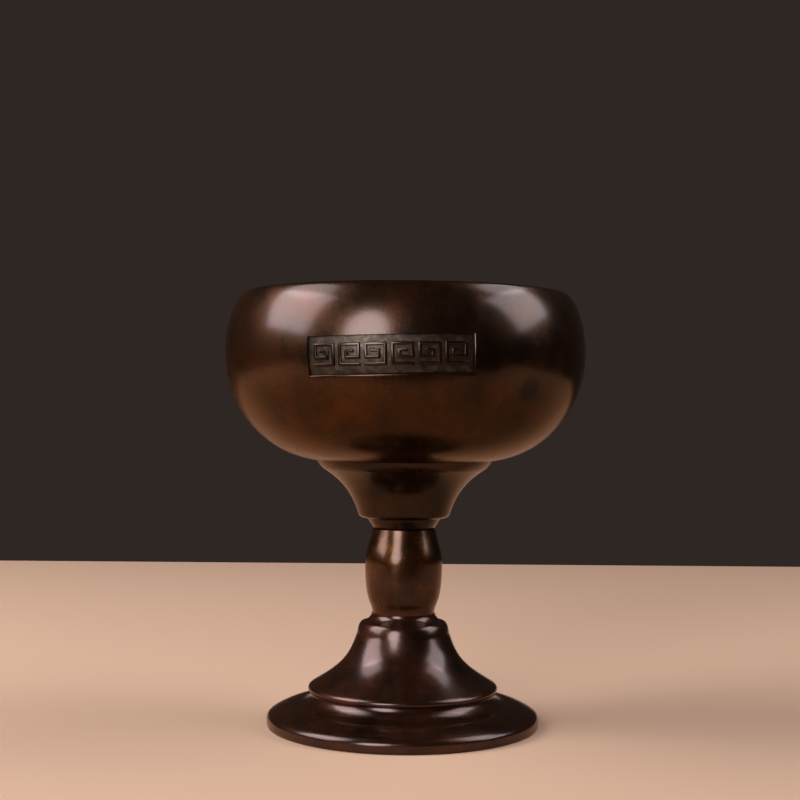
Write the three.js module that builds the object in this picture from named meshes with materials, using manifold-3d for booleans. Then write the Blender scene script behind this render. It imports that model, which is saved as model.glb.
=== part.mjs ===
// Stem incense burner in cast copper alloy: an incurved bowl on a turned stem and a
// spreading foot, all drawn together by one tie rod with a nut under the foot.
// Millimetres, +Z up, origin at the middle of the resting face, bowl panel towards -Y.
import * as THREE from "three";
import { mergeVertices } from "three/addons/utils/BufferGeometryUtils.js";
import Module from "manifold-3d";

const wasm = await Module();
wasm.setup();

// Heights of the castings, from the table up
const discHeight = 9.2;
const bellHeight = 21.7;
const knopHeight = 23.4;
const neckHeight = 19;
const bowlHeight = 46.2;

// Foot disc: a thin round-edged band, a low dome, and a cove that ends under the bell
const discRadius = 37.7;
const discFootRound = 0.8;
const discBandHeight = 2;
const discShoulderWidth = 1.1;
const discShoulderRise = 1.75;
const discShoulderPull = 1.7;
const discShoulderSlope = 0.59;
const discDomeHeight = 6.15;
const discDomePull = 3.2;
const discDomeSlope = 0.07;
const discCoveWidth = 4;
const discCovePull = 2.1;
const discCoveLean = 0.2;
const discCoveRise = 1.7;

// Under the disc: the ring it stands on, a vaulted recess and the pocket for the nut
const restRingWidth = 4;
const discRecessDepth = 3;
const discRecessTaper = 1.2;
const discVaultDepth = 5.8;
const discVaultWidth = 9;
const nutPocketRadius = 10;
const nutPocketHeight = 10.5;
const nutPocketWall = 3.5;

// Bell foot: a thin lip, a long flare, a rounded shoulder and a cove up to the knop
const bellLipRadius = 26.3;
const bellLipHeight = 2.1;
const bellLipWidth = 0.75;
const bellLipRound = 1;
const bellOverhang = 0.05;
const bellFlarePull = 8.38;
const bellFlareSlope = 0.601;
const bellThroatRadius = 12.88;
const bellThroatDrop = 5.58;
const bellThroatPull = 6.96;
const bellThroatSwell = 2.33;
const bellShoulderWidth = 1.58;
const bellShoulderRise = 3.29;
const bellShoulderNose = 0.52;
const bellShoulderSlope = 0.15;
const bellCovePull = 1.07;
const bellCoveRise = 1.17;
const bellCoveLean = 0.05;
const bellTopRadius = 8.85;
const bellWall = 3.4;
const bellCrown = 4;
const bellHollowPull = 8.8;
const bellHollowRise = 3.8;

// Knop
const knopRadius = 10.74;
const knopFootRadius = 8.59;
const knopHeadRadius = 8.77;
const knopWidestHeight = 14;
const knopFootPull = 3.27;
const knopFootLean = 0.18;
const knopBellyPull = 11.7;
const knopShoulderPull = 2.9;
const knopHeadPull = 5;
const knopHeadLean = 1.1;

// Neck: a collar, a ledge, a cavetto and a small bead under the bowl
const neckCollarRadius = 8.22;
const neckCollarWidth = 1.9;
const neckCollarPull = 0.3;
const neckLedgeRadius = 12.99;
const neckLedgeWidth = 1.88;
const neckLedgeFoot = 2.95;
const neckLedgeHeight = 4.72;
const neckLedgeRound = 1.53;
const neckThroatRadius = 22.48;
const neckThroatPullOut = 6.54;
const neckThroatPullDown = 4.01;
const neckCavettoLean = 1.24;
const neckCavettoPull = 3.53;
const neckBeadRadius = 24.51;
const neckBeadHeight = 2.4;
const neckBeadPullOut = 1.15;
const neckBeadPullUp = 0.89;
const neckEdge = 0.15;

// Bowl
const bowlSeatRadius = 24.4;
const bellyRadius = 50;
const bellyHeight = 29.8;
const hipPull = 17.5;
const hipRise = 2.5;
const bellyPull = 12.5;
const shoulderPull = 9.5;
const crownPull = 1.8;
const rimRadius = 44.6;
const rimWidth = 3.4;
const rimRound = 0.7;
const rimDepth = 2.1;
const rimSwell = 1.4;
const innerShoulderPull = 7.6;
const wall = 3.5;
const floorThickness = 5;
const bossRadius = 7.5;
const bossHeight = 8;

// Sunk panel on the bowl's front, with a row of raised square spirals
const panelWidth = 42.9;
const panelHeight = 9.5;
const panelDepth = 0.8;
const panelDraft = 0.35;
const panelMiddle = 27.4;
const panelTurn = -4.87;
const panelTilt = 1.2;
const cutterProud = 2;
const fretCount = 6;
const fretPitch = 6.8;
const fretSize = 5.8;
const fretStroke = 0.8;
const fretStep = 1.68;
const fretRelief = 0.55;
const fretRoot = 0.4;

// Tie rod and its fasteners, a 6 mm thread
const rodRadius = 3;
const rodReach = 8;
const rodTail = 1.4;
const rodChamfer = 0.5;
const washerRadius = 8;
const washerThickness = 1.6;
const springRadius = 5.4;
const springThickness = 1.6;
const springSlit = 1.2;
const nutFlats = 10;
const nutHeight = 5;
const nutChamfer = 0.6;
const nutFaceInset = 0.1;

// Spigots that centre one casting in the next, and the play between fitted parts
const spigotRadius = 5.2;
const spigotHeight = 1.6;
const clearance = 0.3;

const largeTurnSides = 64;
const stemTurnSides = 48;
const seatClearanceRadius = rodRadius + clearance;
const bellBase = discHeight;
const knopBase = bellBase + bellHeight;
const neckBase = knopBase + knopHeight;
const bowlBase = neckBase + neckHeight;
const rodTop = bowlBase - bossHeight + rodReach;

const at = (radius, height) => new THREE.Vector2(radius, height);
const bend = (steps, ...points) => new THREE.CubicBezierCurve(...points).getPoints(steps);
const round = (steps, ...points) => new THREE.QuadraticBezierCurve(...points).getPoints(steps);

// A solid of revolution about Z from an outline of radius and height.
function turned(outline, sides) {
  const points = outline.filter((p, i) => i === 0 || p.distanceTo(outline[i - 1]) > 0.001);
  const geometry = new THREE.LatheGeometry(points, sides);
  geometry.rotateX(Math.PI / 2);
  return geometry;
}

// The same for a bored piece, whose outline closes on itself.
function turnedRing(outline, sides) {
  return turned([...outline, outline[0].clone()], sides);
}

function toSolid(geometry) {
  const bare = geometry.clone();
  bare.deleteAttribute("normal");
  bare.deleteAttribute("uv");
  const merged = mergeVertices(bare, 0.001);
  return new wasm.Manifold(
    new wasm.Mesh({
      numProp: 3,
      vertProperties: merged.attributes.position.array,
      triVerts: new Uint32Array(merged.index.array),
    }),
  );
}

function toGeometry(solid) {
  const { vertProperties, triVerts } = solid.getMesh();
  const geometry = new THREE.BufferGeometry();
  geometry.setAttribute("position", new THREE.BufferAttribute(vertProperties, 3));
  geometry.setIndex(new THREE.BufferAttribute(triVerts, 1));
  geometry.computeVertexNormals();
  return geometry;
}

// The spigot on top of a casting: its outline from the outside of the top face inwards.
function spigotOutline(top) {
  return [
    at(spigotRadius, top),
    at(spigotRadius, top + spigotHeight),
    at(seatClearanceRadius, top + spigotHeight),
  ];
}

// The socket under a casting that takes the spigot below it, from the bore outwards.
function socketOutline() {
  const depth = spigotHeight + clearance;
  return [
    at(seatClearanceRadius, depth),
    at(spigotRadius + clearance, depth),
    at(spigotRadius + clearance, 0),
  ];
}

// Where the bell stands on the disc, and the hub of the disc that centres it
const bellSeatRadius = bellLipRadius - bellLipRound - bellOverhang;
const bellMouthRadius = bellSeatRadius - bellWall;
const hubRadius = bellMouthRadius - clearance;
const hubTop = nutPocketHeight + nutPocketWall;

function discGeometry() {
  const ringOuter = discRadius - discFootRound;
  const ringInner = ringOuter - restRingWidth;
  const recessRadius = ringInner - discRecessTaper;
  const shoulder = at(discRadius - discShoulderWidth, discBandHeight + discShoulderRise);
  const dome = at(bellSeatRadius + discCoveWidth, discDomeHeight);
  const seat = at(bellSeatRadius, discHeight);
  const outline = [
    at(seatClearanceRadius, nutPocketHeight),
    at(nutPocketRadius, nutPocketHeight),
    at(nutPocketRadius, discVaultDepth),
    at(recessRadius - discVaultWidth, discVaultDepth),
    at(recessRadius, discRecessDepth),
    at(ringInner, 0),
    ...round(3, at(ringOuter, 0), at(discRadius, 0), at(discRadius, discFootRound)),
    ...round(
      4,
      at(discRadius, discBandHeight),
      at(discRadius, shoulder.y - discShoulderSlope * discShoulderWidth),
      shoulder,
    ),
    ...bend(
      5,
      shoulder,
      at(shoulder.x - discShoulderPull, shoulder.y + discShoulderSlope * discShoulderPull),
      at(dome.x + discDomePull, dome.y - discDomeSlope * discDomePull),
      dome,
    ),
    ...bend(
      6,
      dome,
      at(dome.x - discCovePull, dome.y + discDomeSlope * discCovePull),
      at(seat.x + discCoveLean, seat.y - discCoveRise),
      seat,
    ),
    at(hubRadius, discHeight),
    at(hubRadius, discHeight + spigotHeight),
    at(nutPocketRadius + nutPocketWall, hubTop),
    at(seatClearanceRadius, hubTop),
  ];
  return turnedRing(outline, largeTurnSides);
}

function bellGeometry() {
  const lipTop = at(bellLipRadius - bellLipWidth, bellLipHeight);
  const throat = at(bellThroatRadius, bellHeight - bellThroatDrop);
  const shoulder = at(throat.x - bellShoulderWidth, throat.y + bellShoulderRise);
  const noseWidth = bellShoulderWidth - bellShoulderNose;
  const nose = at(shoulder.x + noseWidth, shoulder.y - bellShoulderSlope * noseWidth);
  const crown = at(bellThroatRadius - bellWall, bellHeight - bellCrown);
  const outline = [
    at(bellMouthRadius, 0),
    ...round(
      3,
      at(bellLipRadius - bellLipRound, 0),
      at(bellLipRadius, 0),
      at(bellLipRadius, bellLipRound),
    ),
    ...round(
      3,
      at(bellLipRadius, bellLipRound),
      at(bellLipRadius, bellLipHeight - bellFlareSlope * bellLipWidth),
      lipTop,
    ),
    ...bend(
      10,
      lipTop,
      at(lipTop.x - bellFlarePull, lipTop.y + bellFlareSlope * bellFlarePull),
      at(throat.x + bellThroatSwell, throat.y - bellThroatPull),
      throat,
    ),
    ...round(5, throat, nose, shoulder),
    ...bend(
      4,
      shoulder,
      at(shoulder.x - bellCovePull, shoulder.y + bellShoulderSlope * bellCovePull),
      at(bellTopRadius + bellCoveLean, bellHeight - bellCoveRise),
      at(bellTopRadius, bellHeight),
    ),
    ...spigotOutline(bellHeight),
    at(seatClearanceRadius, crown.y),
    ...bend(
      7,
      crown,
      at(crown.x + bellThroatSwell, crown.y - bellHollowPull),
      at(bellMouthRadius - bellFlarePull, spigotHeight + bellHollowRise),
      at(bellMouthRadius, spigotHeight),
    ),
  ];
  return turnedRing(outline, stemTurnSides);
}

function knopGeometry() {
  const widest = at(knopRadius, knopWidestHeight);
  const outline = [
    ...socketOutline(),
    ...bend(
      7,
      at(knopFootRadius, 0),
      at(knopFootRadius + knopFootLean, knopFootPull),
      at(knopRadius, knopWidestHeight - knopBellyPull),
      widest,
    ),
    ...bend(
      6,
      widest,
      at(knopRadius, knopWidestHeight + knopShoulderPull),
      at(knopHeadRadius + knopHeadLean, knopHeight - knopHeadPull),
      at(knopHeadRadius, knopHeight),
    ),
    ...spigotOutline(knopHeight),
  ];
  return turnedRing(outline, stemTurnSides);
}

function neckGeometry() {
  const collarTop = at(neckCollarRadius + neckCollarWidth, neckLedgeFoot);
  const ledge = at(neckLedgeRadius, neckLedgeHeight);
  const throat = at(neckThroatRadius, neckHeight - neckBeadHeight);
  const socketFloor = neckHeight - bossHeight - clearance;
  const outline = [
    ...socketOutline(),
    ...bend(
      4,
      at(neckCollarRadius, 0),
      at(neckCollarRadius + neckCollarPull, neckCollarPull),
      at(collarTop.x - neckCollarPull, collarTop.y - 2 * neckCollarPull),
      collarTop,
    ),
    ...round(
      5,
      at(ledge.x - neckLedgeWidth, collarTop.y + neckEdge),
      at(ledge.x - 2 * neckEdge, ledge.y - neckLedgeRound),
      ledge,
    ),
    ...bend(
      8,
      ledge,
      at(ledge.x + neckCavettoLean, ledge.y + neckCavettoPull),
      at(throat.x - neckThroatPullOut, throat.y - neckThroatPullDown),
      throat,
    ),
    ...round(
      4,
      throat,
      at(throat.x + neckBeadPullOut, throat.y + neckBeadPullUp),
      at(neckBeadRadius, neckHeight - neckEdge),
    ),
    at(neckBeadRadius - neckEdge, neckHeight),
    at(bossRadius + clearance, neckHeight),
    at(bossRadius + clearance, socketFloor),
    at(seatClearanceRadius, socketFloor),
  ];
  return turnedRing(outline, stemTurnSides);
}

// The bowl's outside from its seat on the neck up to the crown of the rim.
function bowlOutside() {
  const belly = at(bellyRadius, bellyHeight);
  return [
    ...bend(
      9,
      at(bowlSeatRadius, 0),
      at(bowlSeatRadius + hipPull, hipRise),
      at(bellyRadius, bellyHeight - bellyPull),
      belly,
    ),
    ...bend(
      8,
      belly,
      at(bellyRadius, bellyHeight + shoulderPull),
      at(rimRadius + crownPull, bowlHeight),
      at(rimRadius, bowlHeight),
    ),
  ];
}

// The bowl's inside from the rim down to the middle of its floor.
function bowlInside() {
  const inner = bellyRadius - wall;
  const mouth = rimRadius - rimWidth;
  const belly = at(inner, bellyHeight);
  return [
    ...round(
      3,
      at(mouth + rimRound, bowlHeight),
      at(mouth, bowlHeight),
      at(mouth, bowlHeight - rimRound),
    ),
    ...bend(
      6,
      at(mouth, bowlHeight - rimDepth),
      at(mouth + rimSwell, bowlHeight - wall),
      at(inner, bellyHeight + innerShoulderPull),
      belly,
    ),
    ...bend(
      8,
      belly,
      at(inner, bellyHeight - bellyPull),
      at(bowlSeatRadius + hipPull, floorThickness),
      at(bowlSeatRadius, floorThickness),
    ),
    at(0, floorThickness),
  ];
}

function bowlBody() {
  const threadRadius = rodRadius + clearance;
  return turned(
    [
      at(0, rodReach - bossHeight),
      at(threadRadius, rodReach - bossHeight),
      at(threadRadius, -bossHeight),
      at(bossRadius, -bossHeight),
      at(bossRadius, 0),
      ...bowlOutside(),
      ...bowlInside(),
    ],
    largeTurnSides,
  );
}

// The bowl's outer radius at a height, read from its own outside curve.
function bowlRadiusAt(height) {
  const curve = bowlOutside();
  const above = Math.max(1, curve.findIndex((p) => p.y >= height));
  const low = curve[above - 1];
  const high = curve[above];
  return THREE.MathUtils.mapLinear(height, low.y, high.y, low.x, high.x);
}

// Wraps a flat geometry (x along the panel, y up it, z outwards) onto the bowl's wall.
function wrapOnBowl(geometry) {
  const tilt = THREE.MathUtils.degToRad(panelTilt);
  const middle = THREE.MathUtils.degToRad(panelTurn);
  geometry.rotateZ(tilt);
  const positions = geometry.attributes.position;
  for (let i = 0; i < positions.count; i++) {
    const height = panelMiddle + positions.getY(i);
    const turn = middle + positions.getX(i) / bellyRadius;
    const radius = bowlRadiusAt(height) + positions.getZ(i);
    positions.setXYZ(i, radius * Math.sin(turn), -radius * Math.cos(turn), height);
  }
  return geometry;
}

// The panel's cutter, its walls sloping outwards as they leave the ground.
function panelCutter() {
  const box = new THREE.BoxGeometry(panelWidth, panelHeight, panelDepth + cutterProud, 16, 4, 1);
  box.translate(0, 0, (cutterProud - panelDepth) / 2);
  const positions = box.attributes.position;
  for (let i = 0; i < positions.count; i++) {
    const spread = (positions.getZ(i) / panelDepth) * panelDraft * 2;
    positions.setX(i, positions.getX(i) * (1 + spread / panelWidth));
    positions.setY(i, positions.getY(i) * (1 + spread / panelHeight));
  }
  return toSolid(wrapOnBowl(box));
}

// Centre line of one square spiral, from its outer end to its heart.
function spiralCorners() {
  const reach = (fretSize - fretStroke) / 2;
  const corners = [[-reach, -reach]];
  let [left, right, low, high] = [-reach, reach, -reach, reach];
  while (right - left > fretStroke) {
    corners.push([right, low], [right, high], [left, high]);
    low += fretStep;
    corners.push([left, low]);
    left += fretStep;
    right -= fretStep;
    high -= fretStep;
  }
  return corners.map(([x, y]) => new THREE.Vector2(x, y));
}

// The corners of one side of a square-cornered stroke along a centre line.
function strokeSide(corners, side) {
  const half = fretStroke / 2;
  const runs = corners.slice(1).map((corner, i) => corner.clone().sub(corners[i]).normalize());
  const across = runs.map((run) => new THREE.Vector2(-run.y, run.x).multiplyScalar(half * side));
  const last = corners.length - 1;
  return corners.map((corner, i) => {
    if (i === 0) return corner.clone().addScaledVector(runs[0], -half).add(across[0]);
    if (i === last) return corner.clone().addScaledVector(runs[last - 1], half).add(across[last - 1]);
    return corner.clone().add(across[i - 1]).add(across[i]);
  });
}

// One raised spiral, rooted a little below the panel's ground.
function fretSolid(centre, mirror) {
  const corners = spiralCorners();
  const outline = [...strokeSide(corners, 1), ...strokeSide(corners, -1).reverse()];
  outline.forEach((p) => p.set(centre + mirror * p.x, p.y));
  const fret = new THREE.ExtrudeGeometry(new THREE.Shape(outline), {
    depth: fretRelief + fretRoot,
    bevelEnabled: false,
  });
  fret.translate(0, 0, -panelDepth - fretRoot);
  return toSolid(wrapOnBowl(fret));
}

function bowlGeometry() {
  let bowl = toSolid(bowlBody()).subtract(panelCutter());
  for (let i = 0; i < fretCount; i++) {
    const centre = (i - (fretCount - 1) / 2) * fretPitch;
    bowl = bowl.add(fretSolid(centre, i % 2 ? -1 : 1));
  }
  return toGeometry(bowl);
}

function rodGeometry() {
  const length = rodTop - rodTail;
  return turned(
    [
      at(0, 0),
      at(rodRadius - rodChamfer, 0),
      at(rodRadius, rodChamfer),
      at(rodRadius, length - rodChamfer),
      at(rodRadius - rodChamfer, length),
      at(0, length),
    ],
    stemTurnSides,
  );
}

function washerGeometry() {
  return turnedRing(
    [
      at(seatClearanceRadius, 0),
      at(washerRadius, 0),
      at(washerRadius, washerThickness),
      at(seatClearanceRadius, washerThickness),
    ],
    stemTurnSides,
  );
}

// A split ring, its slit towards +X.
function springWasherGeometry() {
  const outerSlit = Math.asin(springSlit / 2 / springRadius);
  const innerSlit = Math.asin(springSlit / 2 / seatClearanceRadius);
  const ring = new THREE.Shape();
  ring.absarc(0, 0, springRadius, outerSlit, 2 * Math.PI - outerSlit, false);
  ring.absarc(0, 0, seatClearanceRadius, 2 * Math.PI - innerSlit, innerSlit, true);
  ring.closePath();
  return new THREE.ExtrudeGeometry(ring, {
    depth: springThickness,
    bevelEnabled: false,
    curveSegments: stemTurnSides / 2,
  });
}

// A hexagon nut whose corners are turned off to a chamfer on both faces.
function nutGeometry() {
  const cornerRadius = nutFlats / Math.sqrt(3);
  const hexagon = new THREE.CylinderGeometry(cornerRadius, cornerRadius, nutHeight, 6);
  hexagon.rotateX(Math.PI / 2);
  hexagon.translate(0, 0, nutHeight / 2);
  const faceRadius = nutFlats / 2 - nutFaceInset;
  const blank = turnedRing(
    [
      at(seatClearanceRadius, 0),
      at(faceRadius, 0),
      at(faceRadius + 2 * nutChamfer, nutChamfer),
      at(faceRadius + 2 * nutChamfer, nutHeight - nutChamfer),
      at(faceRadius, nutHeight),
      at(seatClearanceRadius, nutHeight),
    ],
    stemTurnSides,
  );
  return toGeometry(toSolid(hexagon).intersect(toSolid(blank)));
}

const patina = new THREE.MeshStandardMaterial({ color: 0x3a1c10, roughness: 0.38, metalness: 1 });
const barePatina = new THREE.MeshStandardMaterial({ color: 0x4a2c1c, roughness: 0.5, metalness: 1 });
const steel = new THREE.MeshStandardMaterial({ color: 0x8d8f91, roughness: 0.4, metalness: 1 });

const burner = new THREE.Group();

function addPiece(name, geometry, material, height) {
  const mesh = new THREE.Mesh(geometry, material.clone());
  mesh.name = name;
  mesh.position.z = height;
  burner.add(mesh);
}

const washerBase = nutPocketHeight - washerThickness;
const springBase = washerBase - springThickness;
const nutBase = springBase - nutHeight;

addPiece("bowl", bowlGeometry(), patina, bowlBase);
addPiece("neck", neckGeometry(), patina, neckBase);
addPiece("knop", knopGeometry(), patina, knopBase);
addPiece("bell_foot", bellGeometry(), patina, bellBase);
addPiece("base_disc", discGeometry(), barePatina, 0);
addPiece("tie_rod", rodGeometry(), steel, rodTail);
addPiece("flat_washer", washerGeometry(), steel, washerBase);
addPiece("spring_washer", springWasherGeometry(), steel, springBase);
addPiece("hex_nut", nutGeometry(), steel, nutBase);

export default burner;
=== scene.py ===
# Stem incense burner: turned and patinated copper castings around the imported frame.
import math
import bpy
import bmesh
from mathutils import Matrix, Quaternion, Vector
from mathutils.geometry import interpolate_bezier


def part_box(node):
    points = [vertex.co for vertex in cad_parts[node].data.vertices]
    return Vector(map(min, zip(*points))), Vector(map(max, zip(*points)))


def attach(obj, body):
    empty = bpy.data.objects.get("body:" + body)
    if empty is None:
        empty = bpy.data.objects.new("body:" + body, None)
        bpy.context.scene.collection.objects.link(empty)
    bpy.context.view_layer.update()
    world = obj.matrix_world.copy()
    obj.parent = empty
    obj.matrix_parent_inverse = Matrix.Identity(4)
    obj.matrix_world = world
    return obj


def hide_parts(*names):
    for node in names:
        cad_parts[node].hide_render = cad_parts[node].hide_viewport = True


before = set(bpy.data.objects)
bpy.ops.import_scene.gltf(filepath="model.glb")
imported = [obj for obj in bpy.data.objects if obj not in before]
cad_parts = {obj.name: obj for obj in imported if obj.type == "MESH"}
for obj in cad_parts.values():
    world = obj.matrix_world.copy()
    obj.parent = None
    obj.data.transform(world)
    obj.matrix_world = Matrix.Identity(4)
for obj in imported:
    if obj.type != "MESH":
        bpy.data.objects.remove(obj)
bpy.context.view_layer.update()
mm = 0.001


def hexColour(code):  # sRGB hex to the linear colour that Blender's sockets take
    channels = [int(code[i:i + 2], 16) / 255 for i in (1, 3, 5)]
    return [c / 12.92 if c <= 0.04045 else ((c + 0.055) / 1.055) ** 2.4 for c in channels] + [1]


def addObject(name, data):
    made = bpy.data.objects.new(name, data)
    bpy.context.collection.objects.link(made)
    return made


def addMeshObject(name, bm):  # frees the bmesh
    mesh = bpy.data.meshes.new(name)
    bm.to_mesh(mesh)
    bm.free()
    return addObject(name, mesh)


# Camera, matched to the photograph's square frame

cameraSetup = {
    "distance": 399.5,      # mm from the stem's axis
    "height": 85.7,         # mm above the table
    "sideways": -1.38,      # mm, so the stem stands a little right of the middle
    "pitch": 0.64,          # degrees up from level
    "roll": 0.45,           # degrees
    "focalPixels": 1430,
    "imagePixels": 800,
    "sensor": 36,           # mm
    "nearest": 10,          # mm
}


def addCamera():
    c = cameraSetup
    data = bpy.data.cameras.new("camera")
    data.sensor_width = c["sensor"]
    data.lens = c["focalPixels"] / c["imagePixels"] * c["sensor"]
    data.clip_start = c["nearest"] * mm
    camera = addObject("camera", data)
    place = Matrix.Translation((c["sideways"] * mm, -c["distance"] * mm, c["height"] * mm))
    tilt = Matrix.Rotation(math.radians(90 + c["pitch"]), 4, "X")
    roll = Matrix.Rotation(math.radians(c["roll"]), 4, "Z")
    camera.matrix_world = place @ tilt @ roll
    bpy.context.scene.camera = camera


addCamera()
print("camera set")


# Outlines are lists of (radius, height) in mm, turned about the stem's axis. In the shapes all
# lengths are in mm, and a name that ends in Pull, Lean, Swell, Out, Up or Down is how far the
# handle of a curve reaches.

def curve(start, handleA, handleB, end, steps):
    corners = [Vector((p[0], p[1], 0)) for p in (start, handleA, handleB, end)]
    return [(p.x, p.y) for p in interpolate_bezier(*corners, steps)]


def bow(start, tip, end, steps):  # a round between two points, drawn towards its tip
    handleA = [a + (b - a) * 2 / 3 for a, b in zip(start, tip)]
    handleB = [a + (b - a) * 2 / 3 for a, b in zip(end, tip)]
    return curve(start, handleA, handleB, end, steps)


def faceOut(bm):
    bm.normal_update()
    bmesh.ops.recalc_face_normals(bm, faces=bm.faces)


def turnOutline(outline, base, closed, sides):
    bm = bmesh.new()
    verts = [bm.verts.new((r * mm, 0, (base + z) * mm)) for r, z in outline]
    edges = [bm.edges.new(pair) for pair in zip(verts, verts[1:])]
    if closed:
        edges.append(bm.edges.new((verts[-1], verts[0])))
    bmesh.ops.spin(bm, geom=verts + edges, cent=(0, 0, 0), axis=(0, 0, 1), dvec=(0, 0, 0),
                   angle=2 * math.pi, steps=sides, use_merge=True, use_duplicate=False)
    weldDistance = 0.005 * mm
    bmesh.ops.remove_doubles(bm, verts=bm.verts, dist=weldDistance)
    faceOut(bm)
    return bm


def smooth(mesh, sharpAngle):
    for face in mesh.polygons:
        face.use_smooth = True
    mesh.set_sharp_from_angle(angle=math.radians(sharpAngle))


def finishPiece(bm, name, node, material):
    piece = addMeshObject(name, bm)
    smooth(piece.data, sharpAngle=40)
    piece.data.materials.append(material)
    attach(piece, "root")
    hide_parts(node)
    return piece


def baseOf(node):  # a node's lowest height in mm
    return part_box(node)[0][2] / mm


# Materials

def addNode(tree, kind, inputs=None, **settings):
    node = tree.nodes.new(kind)
    for key, value in settings.items():
        setattr(node, key, value)
    for key, value in (inputs or {}).items():
        if isinstance(value, bpy.types.NodeSocket):
            tree.links.new(value, node.inputs[key])
        else:
            node.inputs[key].default_value = value
    return node


def startMaterial(name):  # an empty material, its node tree and the object coordinates
    material = bpy.data.materials.new(name)
    material.use_nodes = True
    tree = material.node_tree
    tree.nodes.clear()
    return material, tree, addNode(tree, "ShaderNodeTexCoord").outputs["Object"]


def addMath(tree, operation, *values):
    inputs = dict(enumerate(values))
    return addNode(tree, "ShaderNodeMath", inputs, operation=operation).outputs[0]


def addRange(tree, value, source, target, **settings):
    inputs = {"Value": value, "From Min": source[0], "From Max": source[1],
              "To Min": target[0], "To Max": target[1]}
    return addNode(tree, "ShaderNodeMapRange", inputs, **settings).outputs[0]


def addNoise(tree, place, scale, detail, roughness=0.5):
    inputs = {"Vector": place, "Scale": scale, "Detail": detail, "Roughness": roughness}
    return addNode(tree, "ShaderNodeTexNoise", inputs).outputs["Fac"]


def addRamp(tree, factor, places, codes):
    ramp = addNode(tree, "ShaderNodeValToRGB", {"Fac": factor})
    elements = ramp.color_ramp.elements
    for place in places[2:]:
        elements.new(place)
    for element, place, code in zip(elements, places, codes):
        element.position = place
        element.color = hexColour(code)
    return ramp.outputs["Color"]


def mixColours(tree, factor, first, second):
    inputs = {0: factor, 6: first, 7: second}
    return addNode(tree, "ShaderNodeMix", inputs, data_type="RGBA").outputs[2]


def addBump(tree, height, depth, strength=1, **under):
    inputs = {"Height": height, "Strength": strength, "Distance": depth * mm, **under}
    return addNode(tree, "ShaderNodeBump", inputs).outputs[0]


def addShader(tree, inputs):
    shader = addNode(tree, "ShaderNodeBsdfPrincipled", inputs)
    addNode(tree, "ShaderNodeOutputMaterial", {"Surface": shader.outputs[0]})


def perMetre(size):  # a texture's scale, from the size in mm of what it draws
    return 1000 / size


patinaLook = {
    "colours": ("#2A170D", "#37200F", "#472411"),        # dark, brown and red of the open surface
    "underColours": ("#26180A", "#371F08", "#4A2708"),   # the same below, warmer: partly the patina's own tone, partly a painted warm reflection of the floor
    "stops": (0.36, 0.5, 0.66),
    "underTop": 105,        # mm, height at which the warmer colour below starts to fade in
    "underFull": 88,        # mm, height at which it is complete
    "underBreak": 16,       # mm that the clouds push that border up and down
    "redness": 0.12,        # how far the colour is painted redder and lighter on the left (-X) and darker on the right: painted side light
    "reach": 50,            # mm from the axis to where it does so in full
    "cloudSize": 14,        # mm across one cloud of the chemical patina
    "speckSize": 1.1,       # mm, the alloy's grain showing through
    "speckShare": 0.2,
    "grainSize": 0.55,      # mm, the orange peel left by casting and hand polishing
    "grainDepth": 0.0075,   # mm
    "turnPitch": 0.35,      # mm between polishing lines round the axis
    "turnLength": 25,       # mm that one line runs before it fades
    "lineWeight": 0.35,     # depth of a polishing line, as a share of a pit's
    "pitSpacing": 2.4,      # mm
    "pitEdge": (0.04, 0.16),     # middle and rim of a pit, as shares of the spacing
    "pitDepth": 0.05,       # mm
    "pitStrength": 0.12,
    "edgeTint": "#F2DAC6",  # the patina keeps its colour where it is seen edge on
    "metallic": 0.86,
    "roughness": 0.24,
    "roughShift": (-0.05, 0.08),  # added to the roughness, from dark patina to red
    "roughStops": (0.35, 0.65),
    "wax": 0.4,
    "underWax": 0.08,
    "waxRoughness": 0.17,
    "darkReflectionSpot": (31.6, -36.3, 92.5),  # mm, middle of a painted dark reflection: a small dark spot darkened into the bowl's colour
    "darkReflectionEdge": (1.8, 4.68),      # mm, radius of its full dark and of its rim
    "darkReflectionDepth": 0.92,
    "darkReflectionColour": "#0C0603",
}


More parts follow.
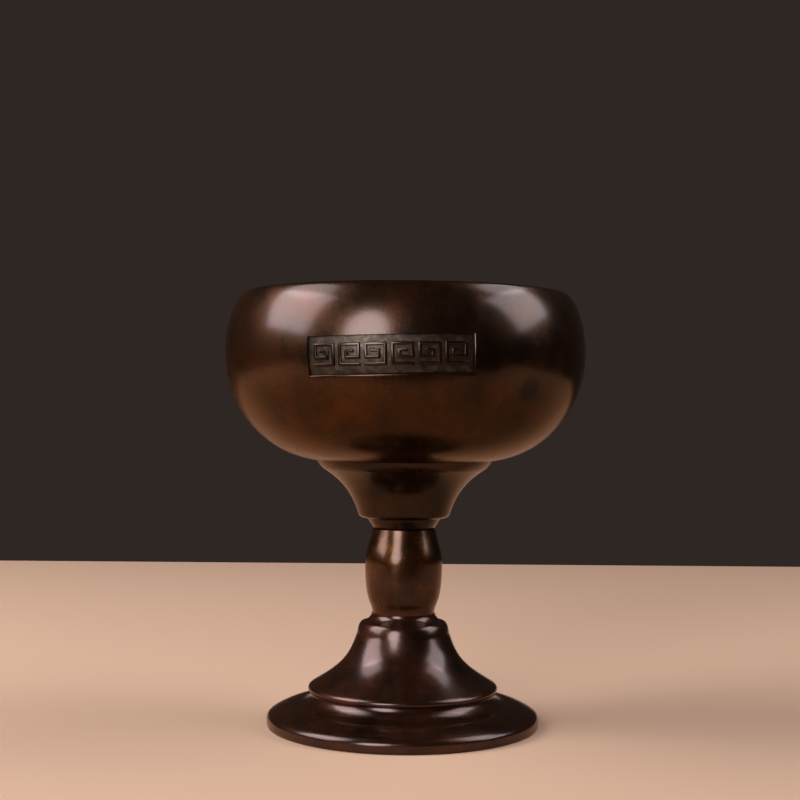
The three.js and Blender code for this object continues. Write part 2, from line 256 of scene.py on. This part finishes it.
# Liver-of-sulphur patina on cast copper, turned, then waxed and buffed by hand: a deep chestnut
# that lets a little metal through, soft clouds of red, faint polishing lines and a satin gloss.
def waxedPatina(name, **changes):
    look = {**patinaLook, **changes}
    material, tree, place = startMaterial(name)
    clouds = addNoise(tree, place, perMetre(look["cloudSize"]), detail=5, roughness=0.6)
    specks = addNoise(tree, place, perMetre(look["speckSize"]), detail=3, roughness=0.7)
    mixed = addMath(tree, "MULTIPLY", clouds, 1 - look["speckShare"])
    mixed = addMath(tree, "MULTIPLY_ADD", specks, look["speckShare"], mixed)
    axes = addNode(tree, "ShaderNodeSeparateXYZ", {"Vector": place})
    # Painted side light: the patina's colour is pushed redder and lighter towards -X and darker
    # towards +X
    reach = look["reach"] * mm
    redness = addRange(tree, axes.outputs["X"], (-reach, reach),
                       (look["redness"], -look["redness"]))
    mixed = addMath(tree, "ADD", mixed, redness)

    # The clouds break up the height at which the warmer underside begins, partly patina and partly
    # a painted warm reflection of the floor
    height = addMath(tree, "MULTIPLY_ADD", clouds, look["underBreak"] * mm, axes.outputs["Z"])
    border = [(look[key] + look["underBreak"] / 2) * mm for key in ("underFull", "underTop")]
    under = addRange(tree, height, border, (1, 0), interpolation_type="SMOOTHSTEP")
    ramps = [addRamp(tree, mixed, look["stops"], look[key]) for key in ("colours", "underColours")]
    colour = mixColours(tree, under, *ramps)

    # Painted reflection: a small round dark spot mixed into the bowl's colour, standing in for a
    # dark reflection
    darkReflectionPlace = addNode(tree, "ShaderNodeVectorMath", {
        0: place, 1: [v * mm for v in look["darkReflectionSpot"]]}, operation="DISTANCE")
    darkReflectionSpot = addRange(tree, darkReflectionPlace.outputs["Value"], [v * mm for v in look["darkReflectionEdge"]],
                     (look["darkReflectionDepth"], 0), interpolation_type="SMOOTHSTEP")
    colour = mixColours(tree, darkReflectionSpot, colour, hexColour(look["darkReflectionColour"]))
    wax = addRange(tree, under, (0, 1), (look["wax"], look["underWax"]))
    roughness = addRange(tree, mixed, look["roughStops"],
                         [look["roughness"] + shift for shift in look["roughShift"]])

    # Polishing lines run round the axis, so their noise is squeezed along the height
    along = perMetre(look["turnLength"])
    squeezed = addNode(tree, "ShaderNodeMapping", {
        "Vector": place, "Scale": (along, along, perMetre(look["turnPitch"]))})
    lines = addNoise(tree, squeezed.outputs[0], scale=1, detail=2)
    pits = addNode(tree, "ShaderNodeTexVoronoi", {
        "Vector": place, "Scale": perMetre(look["pitSpacing"])})
    pits = addRange(tree, pits.outputs["Distance"], look["pitEdge"], (0, 1))
    fine = addMath(tree, "MULTIPLY_ADD", lines, look["lineWeight"], pits)
    fine = addBump(tree, fine, look["pitDepth"], look["pitStrength"])
    grain = addNoise(tree, place, perMetre(look["grainSize"]), detail=2)
    addShader(tree, {
        "Base Color": colour, "Metallic": look["metallic"], "Roughness": roughness,
        "Specular Tint": hexColour(look["edgeTint"]), "Coat Weight": wax,
        "Coat Roughness": look["waxRoughness"],
        "Normal": addBump(tree, grain, look["grainDepth"], Normal=fine)})
    return material


panelLook = {
    "colours": ("#2A1D12", "#3B2C1D", "#554231"),
    "stops": (0.34, 0.5, 0.68),
    "dustSize": 1.6,        # mm
    "sandSize": 0.32,       # mm
    "sandDepth": 0.03,      # mm
    "metallic": 0.75,
    "roughness": 0.4,
}


# Bottom of the sunk panel, where polishing never reached: the casting's own matt skin, greyer and
# sandier than the rest, with dust and old wax on it.
def dullPatina():
    look = panelLook
    material, tree, place = startMaterial("dullPanelPatina")
    dust = addNoise(tree, place, perMetre(look["dustSize"]), detail=4, roughness=0.65)
    sand = addNoise(tree, place, perMetre(look["sandSize"]), detail=3, roughness=0.6)
    addShader(tree, {
        "Base Color": addRamp(tree, dust, look["stops"], look["colours"]),
        "Metallic": look["metallic"], "Roughness": look["roughness"],
        "Normal": addBump(tree, sand, look["sandDepth"])})
    return material


steelLook = {
    "colours": ("#6E6C69", "#9A9895"),
    "stops": (0.3, 0.7),
    "grainScale": 1500,     # grains per metre
    "grainDepth": 0.03,     # mm
    "grainStrength": 0.2,
    "roughness": 0.42,
}


# Mild steel rod, washers and nut: dull grey with a fine grain.
def plainSteel():
    look = steelLook
    material, tree, place = startMaterial("turnedSteel")
    grain = addNoise(tree, place, look["grainScale"], detail=4)
    addShader(tree, {
        "Base Color": addRamp(tree, grain, look["stops"], look["colours"]),
        "Metallic": 1, "Roughness": look["roughness"],
        "Normal": addBump(tree, grain, look["grainDepth"], look["grainStrength"])})
    return material


bowlPatina = waxedPatina("waxedBowlPatina")
neckPatina = waxedPatina("waxedNeckPatina", underColours=("#190F04", "#2A1806", "#412307"),
                         redness=0.14, underWax=0.22)
knopPatina = waxedPatina("waxedKnopPatina", underColours=("#241307", "#3D2009", "#5F310C"),
                         redness=0.2, underWax=0.34)
footPatina = waxedPatina("waxedFootPatina", underColours=("#27140A", "#3A1E10", "#4A2412"),
                         metallic=0.76, underWax=0.4)
panelPatina = dullPatina()
steel = plainSteel()
print("materials made")


# Bowl

bowlShape = {
    "seatRadius": 24.45, "bellyRadius": 50, "bellyHeight": 29.8, "height": 46.2,
    "hipPull": 17.5, "hipRise": 2.5, "bellyPull": 12.5, "shoulderPull": 9.5, "crownPull": 1.8,
    "rimRadius": 44.6, "rimWidth": 3.4, "rimRound": 0.7, "rimDepth": 2.1, "rimSwell": 1.4,
    "innerShoulderPull": 7.6, "wall": 3.5, "floor": 5,
    "bossRadius": 7.5, "bossHeight": 8, "bossChamfer": 0.4, "threadRadius": 3.3, "threadDepth": 8,
    "sharpAngle": 28,
}

panelShape = {
    "width": 42.9, "height": 9.5, "depth": 0.8, "draft": 0.12,
    "middle": 27.75,        # mm above the bowl's seat
    "turn": -4.87,          # degrees round the bowl from the front
    "tilt": 1.2,            # degrees
    "lipRound": 0.6,
    "lipTurn": 72,          # degrees of the round that the worn lips have
    "lipSteps": 6,
    "proud": 0.4,           # mm that the cutter stands out of the bowl
    "cutsAlong": 60, "cutsUp": 12,
    # The square spirals stand on the panel's ground by their relief and reach below it by the root
    "count": 6, "pitch": 6.8, "size": 5.8, "stroke": 0.8, "step": 1.68,
    "relief": 0.55, "root": 0.3, "fretRound": 0.26, "fretSteps": 4,
}


def bowlOutside():
    s = bowlShape
    seat = (s["seatRadius"], 0)
    belly = (s["bellyRadius"], s["bellyHeight"])
    rim = (s["rimRadius"], s["height"])
    lower = curve(seat, (seat[0] + s["hipPull"], s["hipRise"]),
                  (belly[0], belly[1] - s["bellyPull"]), belly, steps=48)
    upper = curve(belly, (belly[0], belly[1] + s["shoulderPull"]),
                  (rim[0] + s["crownPull"], rim[1]), rim, steps=40)
    return lower + upper[1:]


def bowlInside():
    s = bowlShape
    inner = s["bellyRadius"] - s["wall"]
    mouth = s["rimRadius"] - s["rimWidth"]
    top = s["height"]
    belly = (inner, s["bellyHeight"])
    floor = (s["seatRadius"], s["floor"])
    lip = bow((mouth + s["rimRound"], top), (mouth, top), (mouth, top - s["rimRound"]), steps=8)
    upper = curve((mouth, top - s["rimDepth"]), (mouth + s["rimSwell"], top - s["wall"]),
                  (inner, belly[1] + s["innerShoulderPull"]), belly, steps=28)
    lower = curve(belly, (inner, belly[1] - s["bellyPull"]),
                  (floor[0] + s["hipPull"], floor[1]), floor, steps=32)
    return lip + upper + lower[1:] + [(floor[0] / 2, floor[1]), (0, floor[1])]


def bowlRadiusAt(height):
    points = bowlOutside()
    for low, high in zip(points, points[1:]):
        if low[1] <= height <= high[1]:
            share = (height - low[1]) / (high[1] - low[1])
            return low[0] + (high[0] - low[0]) * share
    return points[-1][0]


def wrapOnBowl(bm, base):  # x runs along the panel, y up it and z outwards, all in mm
    s = panelShape
    bmesh.ops.rotate(bm, verts=bm.verts, cent=(0, 0, 0),
                     matrix=Matrix.Rotation(math.radians(s["tilt"]), 3, "Z"))
    for v in bm.verts:
        height = s["middle"] + v.co.y
        turn = math.radians(s["turn"]) + v.co.x / bowlShape["bellyRadius"]
        radius = bowlRadiusAt(height) + v.co.z
        v.co = Vector((radius * math.sin(turn), -radius * math.cos(turn), base + height)) * mm


def edgesAlong(bm, axis, least):  # edges that run more than the least length along an axis
    return [e for e in bm.edges if abs(e.verts[0].co[axis] - e.verts[1].co[axis]) > least]


def panelWall():  # height and spread of the panel's wall, from its ground over the rounded lip
    s = panelShape
    wall = [(-s["depth"], 0)]
    for step in range(s["lipSteps"] + 1):
        turn = math.radians(s["lipTurn"] * step / s["lipSteps"])
        wall.append((s["lipRound"] * (math.sin(turn) - 1),
                     s["draft"] + s["lipRound"] * (1 - math.cos(turn))))
    height, spread = wall[-1]
    slope = math.tan(math.radians(90 - s["lipTurn"]))
    wall.append((s["proud"], spread + (s["proud"] - height) / slope))
    return wall


def panelCutter(base):
    s = panelShape
    wall = panelWall()
    bm = bmesh.new()
    bmesh.ops.create_cube(bm, size=1)
    bmesh.ops.scale(bm, verts=bm.verts, vec=(s["width"], s["height"], 1))
    for axis, cuts in enumerate((s["cutsAlong"], s["cutsUp"], len(wall) - 2)):
        edges = edgesAlong(bm, axis, least=0.5)
        bmesh.ops.subdivide_edges(bm, edges=edges, cuts=cuts, use_grid_fill=True)
    groundSlot = 1
    for face in bm.faces:
        face.material_index = groundSlot if face.normal.z < -0.5 else 0
    for v in bm.verts:  # wiping has rounded the lower lip and the right one, the others are crisp
        height, spread = wall[round((v.co.z + 0.5) * (len(wall) - 1))]
        right = v.co.x + s["width"] / 2
        upper = v.co.y - s["height"] / 2
        v.co = Vector((v.co.x + spread * right / s["width"],
                       v.co.y + spread * upper / s["height"], height))
    wrapOnBowl(bm, base)
    faceOut(bm)
    return bm


def spiralCorners():  # centre line of one square spiral, from its outer end to its heart
    s = panelShape
    reach = (s["size"] - s["stroke"]) / 2
    left, right, low, high = -reach, reach, -reach, reach
    corners = [(left, low)]
    while right - left > s["stroke"]:
        corners += [(right, low), (right, high), (left, high)]
        low += s["step"]
        corners.append((left, low))
        left += s["step"]
        right -= s["step"]
        high -= s["step"]
    return corners


def strokeSide(corners, side):  # the corners along one side of the stroke
    half = panelShape["stroke"] / 2
    points = [Vector(p) for p in corners]
    runs = [(b - a).normalized() for a, b in zip(points, points[1:])]
    sides = []
    for i, point in enumerate(points):
        before = runs[max(i - 1, 0)]
        after = runs[min(i, len(runs) - 1)]
        across = Vector((-before.y, before.x))
        if i in (0, len(points) - 1):
            end = -half if i == 0 else half
            sides.append(point + before * end + across * half * side)
        else:
            sides.append(point + (across + Vector((-after.y, after.x))) * half * side)
    return sides


def addFret(bm, centre, mirror):
    s = panelShape
    corners = spiralCorners()
    outline = strokeSide(corners, 1) + strokeSide(corners, -1)[::-1]
    low = -s["depth"] - s["root"]
    verts = [bm.verts.new((centre + mirror * p.x, p.y, low)) for p in outline]
    face = bm.faces.new(verts)
    raised = bmesh.ops.extrude_face_region(bm, geom=[face])
    lifted = [v for v in raised["geom"] if isinstance(v, bmesh.types.BMVert)]
    bmesh.ops.translate(bm, verts=lifted, vec=(0, 0, s["relief"] + s["root"]))


def fretMesh(base):
    s = panelShape
    bm = bmesh.new()
    for i in range(s["count"]):
        addFret(bm, (i - (s["count"] - 1) / 2) * s["pitch"], -1 if i % 2 else 1)
    faceOut(bm)
    upper = max(v.co.z for v in bm.verts)
    rims = [e for e in bm.edges if all(abs(v.co.z - upper) < 0.01 for v in e.verts)]
    uprights = edgesAlong(bm, 2, least=0.1)
    bmesh.ops.bevel(bm, geom=rims + uprights, offset=s["fretRound"], offset_type="OFFSET",
                    segments=s["fretSteps"], profile=0.5, affect="EDGES", material=-1)
    bmesh.ops.triangulate(bm, faces=bm.faces)
    wrapOnBowl(bm, base)
    faceOut(bm)
    return bm


def applyBoolean(piece, helper, operation):
    modifier = piece.modifiers.new(operation.lower(), "BOOLEAN")
    modifier.operation = operation
    modifier.object = helper
    modifier.solver = "EXACT"
    modifier.material_mode = "INDEX"
    graph = bpy.context.evaluated_depsgraph_get()
    mesh = bpy.data.meshes.new_from_object(piece.evaluated_get(graph))
    piece.modifiers.clear()
    old = piece.data
    piece.data = mesh
    bpy.data.meshes.remove(old)
    bpy.data.objects.remove(helper)


def makeBowl():
    s = bowlShape
    base = baseOf("bowl") + s["bossHeight"]
    low = -s["bossHeight"]
    threadTop = low + s["threadDepth"]
    boss = [(0, threadTop), (s["threadRadius"], threadTop), (s["threadRadius"], low),
            (s["bossRadius"] - s["bossChamfer"], low), (s["bossRadius"], low + s["bossChamfer"]),
            (s["bossRadius"], 0)]
    bm = turnOutline(boss + bowlOutside() + bowlInside(), base, closed=False, sides=256)
    piece = finishPiece(bm, "patinatedBowl", "bowl", bowlPatina)
    piece.data.materials.append(panelPatina)
    applyBoolean(piece, addMeshObject("panelCutter", panelCutter(base)), "DIFFERENCE")
    applyBoolean(piece, addMeshObject("frets", fretMesh(base)), "UNION")
    smooth(piece.data, s["sharpAngle"])
    print("bowl made,", len(piece.data.polygons), "faces")


makeBowl()


# What the neck, the knop, the bell foot and the disc share

stemFit = {"bore": 3.3, "spigot": 5.2, "spigotHeight": 1.6, "play": 0.3}


def spigotOutline(top):
    f = stemFit
    return [(f["spigot"], top), (f["spigot"], top + f["spigotHeight"]),
            (f["bore"], top + f["spigotHeight"])]


def socketOutline():
    f = stemFit
    depth = f["spigotHeight"] + f["play"]
    wide = f["spigot"] + f["play"]
    return [(f["bore"], depth), (wide, depth), (wide, 0)]


def turnPiece(outline, name, node, material, sides):
    finishPiece(turnOutline(outline, baseOf(node), closed=True, sides=sides), name, node, material)
    print(node, "made")


# Neck

neckShape = {
    "collar": 8.22, "collarWidth": 1.9, "collarPull": 0.3, "ledge": 12.99, "ledgeWidth": 1.88,
    "ledgeFoot": 2.95, "ledgeHeight": 4.72, "ledgeRound": 1.53, "throat": 22.48, "throatOut": 6.54,
    "throatDown": 4.01, "cavettoLean": 1.24, "cavettoPull": 3.53, "bead": 24.51, "beadHeight": 2.4,
    "beadOut": 1.15, "beadUp": 0.89, "edge": 0.15, "height": 19, "bossSocket": 7.8,
    "socketDepth": 8.3,
}


def makeNeck():
    s = neckShape
    edge = s["edge"]
    collarTop = (s["collar"] + s["collarWidth"], s["ledgeFoot"])
    ledge = (s["ledge"], s["ledgeHeight"])
    throat = (s["throat"], s["height"] - s["beadHeight"])
    socketFloor = s["height"] - s["socketDepth"]
    outline = socketOutline()
    outline += curve((s["collar"], 0), (s["collar"] + s["collarPull"], s["collarPull"]),
                     (collarTop[0] - s["collarPull"], collarTop[1] - 2 * s["collarPull"]),
                     collarTop, steps=12)
    outline += bow((ledge[0] - s["ledgeWidth"], collarTop[1] + edge),
                   (ledge[0] - 2 * edge, ledge[1] - s["ledgeRound"]), ledge, steps=14)
    outline += curve(ledge, (ledge[0] + s["cavettoLean"], ledge[1] + s["cavettoPull"]),
                     (throat[0] - s["throatOut"], throat[1] - s["throatDown"]),
                     throat, steps=34)[1:]
    outline += bow(throat, (throat[0] + s["beadOut"], throat[1] + s["beadUp"]),
                   (s["bead"], s["height"]), steps=14)[1:]
    outline += [(s["bossSocket"], s["height"]), (s["bossSocket"], socketFloor),
                (stemFit["bore"], socketFloor)]
    turnPiece(outline, "patinatedNeck", "neck", neckPatina, sides=192)


makeNeck()


# Knop

knopShape = {
    "radius": 10.74, "foot": 8.59, "head": 8.77, "widest": 14, "height": 23.4, "footPull": 3.27,
    "footLean": 0.18, "bellyPull": 11.7, "shoulderPull": 2.9, "headPull": 5, "headLean": 1.1,
}


def makeKnop():
    s = knopShape
    widest = (s["radius"], s["widest"])
    outline = socketOutline()
    outline += curve((s["foot"], 0), (s["foot"] + s["footLean"], s["footPull"]),
                     (s["radius"], s["widest"] - s["bellyPull"]), widest, steps=30)
    outline += curve(widest, (s["radius"], s["widest"] + s["shoulderPull"]),
                     (s["head"] + s["headLean"], s["height"] - s["headPull"]),
                     (s["head"], s["height"]), steps=26)[1:]
    outline += spigotOutline(s["height"])
    turnPiece(outline, "patinatedKnop", "knop", knopPatina, sides=160)


makeKnop()


# Bell foot

bellShape = {
    "lip": 26.3, "lipHeight": 2.1, "lipWidth": 0.75, "lipRound": 1, "overhang": 0.05,
    "flarePull": 8.38, "flareSlope": 0.601, "throat": 12.88, "throatDrop": 5.58, "throatPull": 6.96,
    "throatSwell": 2.33, "shoulderWidth": 1.58, "shoulderRise": 3.29, "shoulderNose": 0.52,
    "shoulderSlope": 0.15, "covePull": 1.07, "coveRise": 1.17, "coveLean": 0.05, "top": 8.85,
    "wall": 3.4, "crown": 4, "hollowPull": 8.8, "hollowRise": 3.8, "height": 21.7,
}


def bellSeat():  # radius of the disc's top, just inside the bell's lip
    s = bellShape
    return s["lip"] - s["lipRound"] - s["overhang"]


def makeBell():
    s = bellShape
    mouth = bellSeat() - s["wall"]
    lipTop = (s["lip"] - s["lipWidth"], s["lipHeight"])
    throat = (s["throat"], s["height"] - s["throatDrop"])
    shoulder = (throat[0] - s["shoulderWidth"], throat[1] + s["shoulderRise"])
    noseWidth = s["shoulderWidth"] - s["shoulderNose"]
    nose = (shoulder[0] + noseWidth, shoulder[1] - s["shoulderSlope"] * noseWidth)
    crown = (s["throat"] - s["wall"], s["height"] - s["crown"])
    outline = [(mouth, 0)]
    outline += bow((s["lip"] - s["lipRound"], 0), (s["lip"], 0), (s["lip"], s["lipRound"]), steps=8)
    outline += bow((s["lip"], s["lipRound"]),
                   (s["lip"], s["lipHeight"] - s["flareSlope"] * s["lipWidth"]),
                   lipTop, steps=8)[1:]
    outline += curve(lipTop, (lipTop[0] - s["flarePull"],
                              lipTop[1] + s["flareSlope"] * s["flarePull"]),
                     (throat[0] + s["throatSwell"], throat[1] - s["throatPull"]),
                     throat, steps=44)[1:]
    outline += bow(throat, nose, shoulder, steps=14)[1:]
    outline += curve(shoulder, (shoulder[0] - s["covePull"],
                                shoulder[1] + s["shoulderSlope"] * s["covePull"]),
                     (s["top"] + s["coveLean"], s["height"] - s["coveRise"]),
                     (s["top"], s["height"]), steps=16)[1:]
    outline += spigotOutline(s["height"])
    outline += [(stemFit["bore"], crown[1])]
    outline += curve(crown, (crown[0] + s["throatSwell"], crown[1] - s["hollowPull"]),
                     (mouth - s["flarePull"], stemFit["spigotHeight"] + s["hollowRise"]),
                     (mouth, stemFit["spigotHeight"]), steps=20)
    turnPiece(outline, "patinatedBellFoot", "bell_foot", footPatina, sides=192)


makeBell()


# Base disc

discShape = {
    "radius": 37.7, "footRound": 0.8, "band": 2, "shoulderWidth": 1.1, "shoulderRise": 1.75,
    "shoulderPull": 1.7, "shoulderSlope": 0.59, "dome": 6.15, "domePull": 3.2, "domeSlope": 0.07,
    "coveWidth": 4, "covePull": 2.1, "coveLean": 0.2, "coveRise": 1.7, "ring": 4, "recess": 3,
    "recessTaper": 1.2, "vault": 5.8, "vaultWidth": 9, "pocket": 10, "pocketHeight": 10.5,
    "pocketWall": 3.5, "height": 9.2,
}


def makeDisc():
    s = discShape
    hub = bellSeat() - bellShape["wall"] - stemFit["play"]
    hubTop = s["pocketHeight"] + s["pocketWall"]
    ringOuter = s["radius"] - s["footRound"]
    ringInner = ringOuter - s["ring"]
    recess = ringInner - s["recessTaper"]
    shoulder = (s["radius"] - s["shoulderWidth"], s["band"] + s["shoulderRise"])
    shoulderEnd = (shoulder[0] - s["shoulderPull"],
                   shoulder[1] + s["shoulderSlope"] * s["shoulderPull"])
    dome = (bellSeat() + s["coveWidth"], s["dome"])
    seat = (bellSeat(), s["height"])
    outline = [(stemFit["bore"], s["pocketHeight"]), (s["pocket"], s["pocketHeight"]),
               (s["pocket"], s["vault"]), (recess - s["vaultWidth"], s["vault"]),
               (recess, s["recess"]), (ringInner, 0)]
    outline += bow((ringOuter, 0), (s["radius"], 0), (s["radius"], s["footRound"]), steps=8)
    outline += bow((s["radius"], s["band"]),
                   (s["radius"], shoulder[1] - s["shoulderSlope"] * s["shoulderWidth"]),
                   shoulder, steps=14)
    outline += curve(shoulder, shoulderEnd,
                     (dome[0] + s["domePull"], dome[1] - s["domeSlope"] * s["domePull"]),
                     dome, steps=22)[1:]
    outline += curve(dome, (dome[0] - s["covePull"], dome[1] + s["domeSlope"] * s["covePull"]),
                     (seat[0] + s["coveLean"], seat[1] - s["coveRise"]), seat, steps=18)[1:]
    outline += [(hub, s["height"]), (hub, s["height"] + stemFit["spigotHeight"]),
                (s["pocket"] + s["pocketWall"], hubTop), (stemFit["bore"], hubTop)]
    turnPiece(outline, "patinatedBaseDisc", "base_disc", footPatina, sides=256)


makeDisc()


# The hidden rod, washers and nut stay as the frame has them, in steel

for name in ("tie_rod", "flat_washer", "spring_washer", "hex_nut"):
    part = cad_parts[name]
    part.data.materials.clear()
    part.data.materials.append(steel)


# Pale floor and soft studio light

tableTop = {  # mm
    "width": 1050, "depth": 631, "behind": 431, "sideways": -25,
    "colour": "#CA9A77", "roughness": 0.9,
}


def addFloor():
    t = tableTop
    bm = bmesh.new()
    bmesh.ops.create_grid(bm, x_segments=1, y_segments=1, size=0.5)
    bmesh.ops.scale(bm, verts=bm.verts, vec=(t["width"] * mm, t["depth"] * mm, 1))
    bmesh.ops.translate(bm, verts=bm.verts, vec=(
        t["sideways"] * mm, (t["behind"] - t["depth"] / 2) * mm, 0))
    floor = addMeshObject("paleFloor", bm)
    material = bpy.data.materials.new("paleFloor")
    material.use_nodes = True
    shader = material.node_tree.nodes["Principled BSDF"]
    shader.inputs["Base Color"].default_value = hexColour(t["colour"])
    shader.inputs["Roughness"].default_value = t["roughness"]
    floor.data.materials.append(material)


lampSetup = {"tint": "#DFECFF", "distance": 0.9, "aimHeight": 0.08}

# Azimuth and elevation are degrees as seen from the burner, swing, lean and roll turn a lamp from
# facing it, lengths are metres and power is watts
lamps = {
    "leftUpper": {
        "shape": "ELLIPSE", "azimuth": -89.4, "elevation": 52.3, "width": 0.588, "height": 0.446,
        "swing": 2.2, "lean": 31.5, "roll": -21.1, "power": 3.6},
    "leftLower": {
        "shape": "RECTANGLE", "azimuth": -81.8, "elevation": 28.1, "width": 0.63, "height": 0.56,
        "swing": 25.6, "lean": -20, "roll": -15.1, "power": 9.8},
    "rightUpper": {
        "shape": "ELLIPSE", "azimuth": 99, "elevation": 55.8, "width": 0.62, "height": 0.465,
        "swing": 12.4, "lean": 45, "roll": -12.8, "power": 3.2},
    "rightLower": {
        "shape": "RECTANGLE", "azimuth": 88, "elevation": 30.5, "width": 0.56, "height": 0.556,
        "swing": -34.2, "lean": -26.4, "roll": 35, "power": 5.6},
    "front": {
        "shape": "ELLIPSE", "azimuth": -25.8, "elevation": 15.5, "width": 0.48, "height": 0.6,
        "swing": 33.3, "lean": 20.9, "roll": 11.8, "power": 9.4},
}


def addLamps():
    target = Vector((0, 0, lampSetup["aimHeight"]))
    for name, lamp in lamps.items():
        data = bpy.data.lights.new(name, "AREA")
        data.shape = lamp["shape"]
        data.size = lamp["width"]
        data.size_y = lamp["height"]
        data.energy = lamp["power"]
        data.color = hexColour(lampSetup["tint"])[:3]
        azimuth, elevation, swing, lean, roll = [
            math.radians(lamp[key]) for key in ("azimuth", "elevation", "swing", "lean", "roll")]
        away = Vector((math.sin(azimuth) * math.cos(elevation),
                       -math.cos(azimuth) * math.cos(elevation), math.sin(elevation)))
        piece = addObject(name, data)
        piece.location = target + lampSetup["distance"] * away
        aim = (target - piece.location).to_track_quat("-Z", "Y")
        turned = (Quaternion((0, 0, 1), swing) @ aim @ Quaternion((1, 0, 0), lean)
                  @ Quaternion((0, 0, 1), roll))
        piece.rotation_euler = turned.to_euler()


backdrop = {"colour": "#2E2724", "strength": 1}


def setWorld():
    world = bpy.data.worlds.new("studio")
    bpy.context.scene.world = world
    world.use_nodes = True
    background = world.node_tree.nodes["Background"]
    background.inputs["Color"].default_value = hexColour(backdrop["colour"])
    background.inputs["Strength"].default_value = backdrop["strength"]


addFloor()
addLamps()
setWorld()
bpy.context.scene.view_settings.view_transform = "Standard"
print("stage lit")
